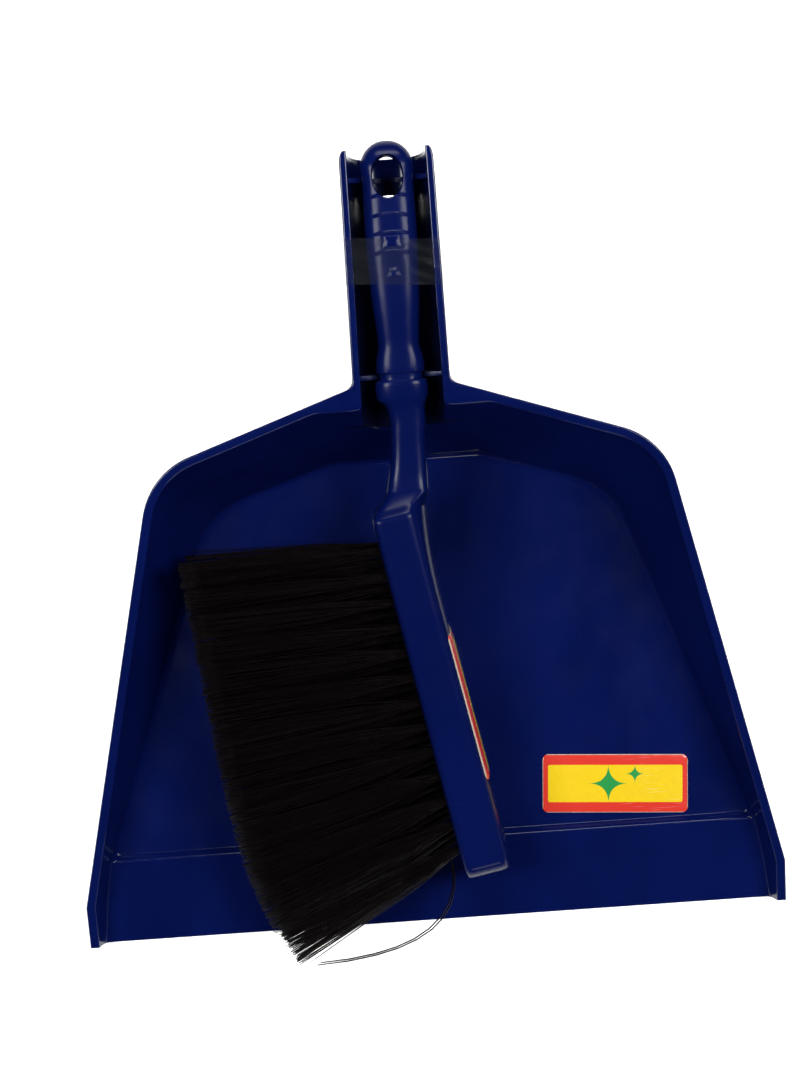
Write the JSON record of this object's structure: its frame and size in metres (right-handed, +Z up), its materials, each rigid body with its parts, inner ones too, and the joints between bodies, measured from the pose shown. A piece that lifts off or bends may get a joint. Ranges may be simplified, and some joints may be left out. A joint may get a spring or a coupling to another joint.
{
  "type": "dust pan and brush set",
  "caption": "Moulded dust pan with a drafted tray, ramped lip and hollow handle, holding a long-bristled hand brush that lies on its side and lifts out.",
  "frame": {"origin": "on the flat underside of the pan, at the middle of the pan's length and width", "axes": "+X to the right with the lip nearest, +Y from the lip to the end of the handle, +Z up"},
  "size_m": [0.299, 0.3333, 0.0723],
  "materials": {
    "pan_plastic": "glossy moulded polypropylene",
    "brush_plastic": "glossy moulded polypropylene",
    "bristle": "dark brown-black filament",
    "label": "printed gloss sticker",
    "clear_tape": "clear packing tape"
  },
  "bodies": {
    "pan": {"dust_pan": "pan_plastic", "pan_label": "label"},
    "brush": {"brush_body": "brush_plastic", "tuft_top_01": "bristle", "tuft_top_02": "bristle", "tuft_top_03": "bristle", "tuft_top_04": "bristle", "tuft_top_05": "bristle", "tuft_top_06": "bristle", "tuft_top_07": "bristle", "tuft_top_08": "bristle", "tuft_top_09": "bristle", "tuft_top_10": "bristle", "tuft_top_11": "bristle", "tuft_top_12": "bristle", "tuft_top_13": "bristle", "tuft_middle_01": "bristle", "tuft_middle_02": "bristle", "tuft_middle_03": "bristle", "tuft_middle_04": "bristle", "tuft_middle_05": "bristle", "tuft_middle_06": "bristle", "tuft_middle_07": "bristle", "tuft_middle_08": "bristle", "tuft_middle_09": "bristle", "tuft_middle_10": "bristle", "tuft_middle_11": "bristle", "tuft_middle_12": "bristle", "tuft_bottom_01": "bristle", "tuft_bottom_02": "bristle", "tuft_bottom_03": "bristle", "tuft_bottom_04": "bristle", "tuft_bottom_05": "bristle", "tuft_bottom_06": "bristle", "tuft_bottom_07": "bristle", "tuft_bottom_08": "bristle", "tuft_bottom_09": "bristle", "tuft_bottom_10": "bristle", "tuft_bottom_11": "bristle", "tuft_bottom_12": "bristle", "tuft_bottom_13": "bristle", "brush_label": "label"},
    "tape": {"packing_tape": "clear_tape"}
  },
  "joints": [
    {"name": "brush_lift", "type": "slide", "parent": "pan", "child": "brush", "axis": [0, -0.1391, 0.9903], "range_m": [0, 0.12]},
    {"name": "tape_peel", "type": "slide", "parent": "brush", "child": "tape", "axis": [0, -0.1391, 0.9903], "range_m": [0, 0.05]}
  ]
}
